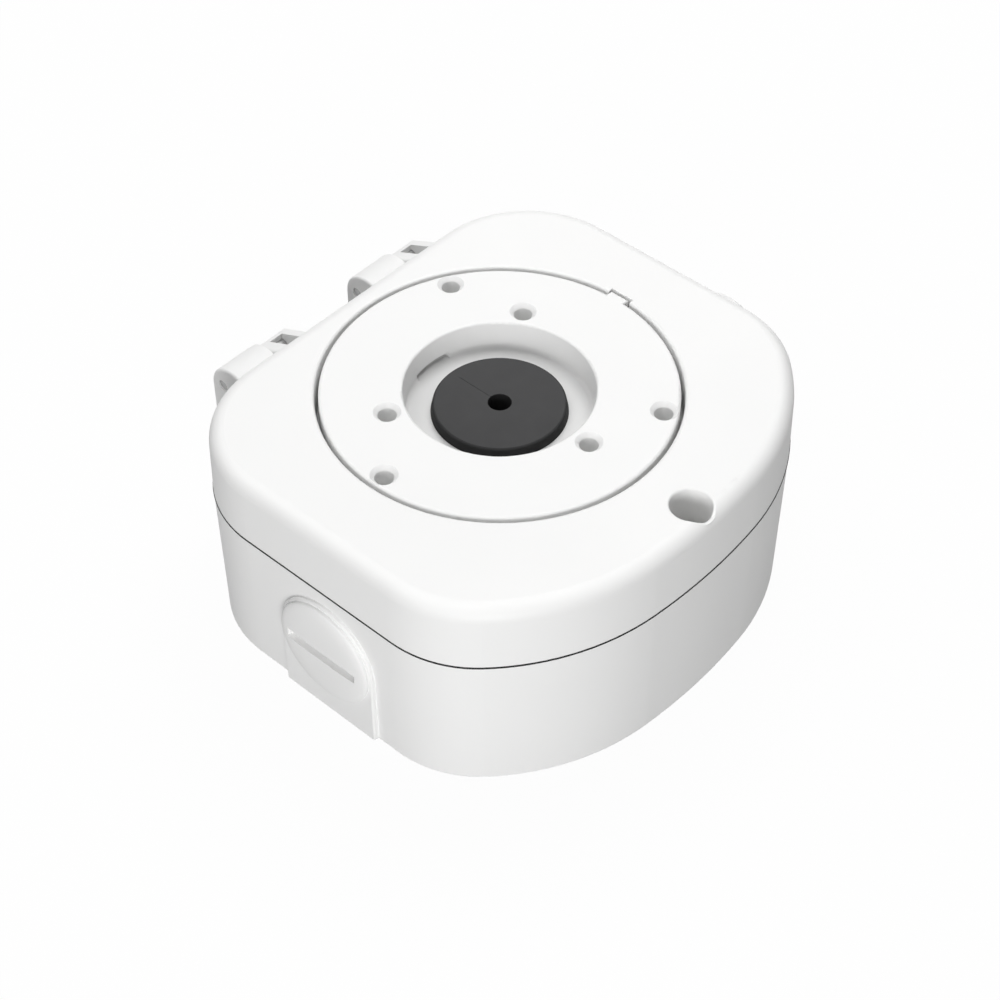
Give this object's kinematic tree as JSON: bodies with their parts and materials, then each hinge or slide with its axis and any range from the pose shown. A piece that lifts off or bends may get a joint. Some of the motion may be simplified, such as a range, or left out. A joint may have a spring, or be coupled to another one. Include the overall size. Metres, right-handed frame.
{
  "type": "camera junction box",
  "caption": "White hinged junction box that carries a security camera: tray, lid with a round mounting disc and rubber cable grommet, side plug and cable gland.",
  "frame": {"origin": "centre of the rear cable entry on the wall plane, on the axis of the mounting disc", "axes": "+Z away from the wall along the disc's axis, +Y towards the hinges, -Y towards the curved front with the lid screw, +X towards the cable gland"},
  "size_m": [0.1595, 0.1317, 0.0598],
  "materials": {
    "white_casting": "satin white powder coat on die-cast aluminium",
    "white_plug": "satin white powder coat",
    "white_nylon": "satin moulded nylon",
    "grey_rubber": "matt dark grey rubber",
    "black_rubber": "matt black rubber",
    "screw_steel": "bright stainless steel",
    "pin_steel": "dull ground steel",
    "earth_brass": "plain brass"
  },
  "bodies": {
    "tray": {"base_housing": "white_casting", "hinge_pin_left": "pin_steel", "hinge_pin_right": "pin_steel", "side_plug": "white_plug", "side_plug_seal": "black_rubber", "gland_body": "white_nylon", "gland_nut": "white_nylon", "gland_bush": "black_rubber", "gland_seal": "black_rubber", "earth_screw": "earth_brass", "earth_washer": "earth_brass"},
    "cover": {"lid": "white_casting", "mounting_disc": "white_casting", "disc_seal": "black_rubber", "disc_screw_1": "screw_steel", "disc_screw_2": "screw_steel", "disc_screw_3": "screw_steel", "cable_grommet": "grey_rubber", "lid_gasket": "black_rubber", "lid_screw_washer": "screw_steel"},
    "screw_collar": {"lid_screw_seal": "black_rubber"},
    "screw": {"lid_screw": "screw_steel"}
  },
  "joints": [
    {"name": "lid_hinge", "type": "hinge", "parent": "tray", "child": "cover", "pos_m": [0, 0.0608, 0.048], "axis": [-1, 0, 0], "range_deg": [0, 180]},
    {"name": "lid_screw_lift", "type": "slide", "parent": "cover", "child": "screw_collar", "axis": [0, 0, 1], "range_m": [0, 0.0036]},
    {"name": "lid_screw_turn", "type": "hinge", "parent": "screw_collar", "child": "screw", "pos_m": [0, -0.0598, 0.047], "axis": [0, 0, 1], "range_deg": [0, 1851.5]}
  ],
  "couplings": [
    {"joint": "lid_screw_turn", "follows": "lid_screw_lift", "rad_per_m": 8976}
  ]
}
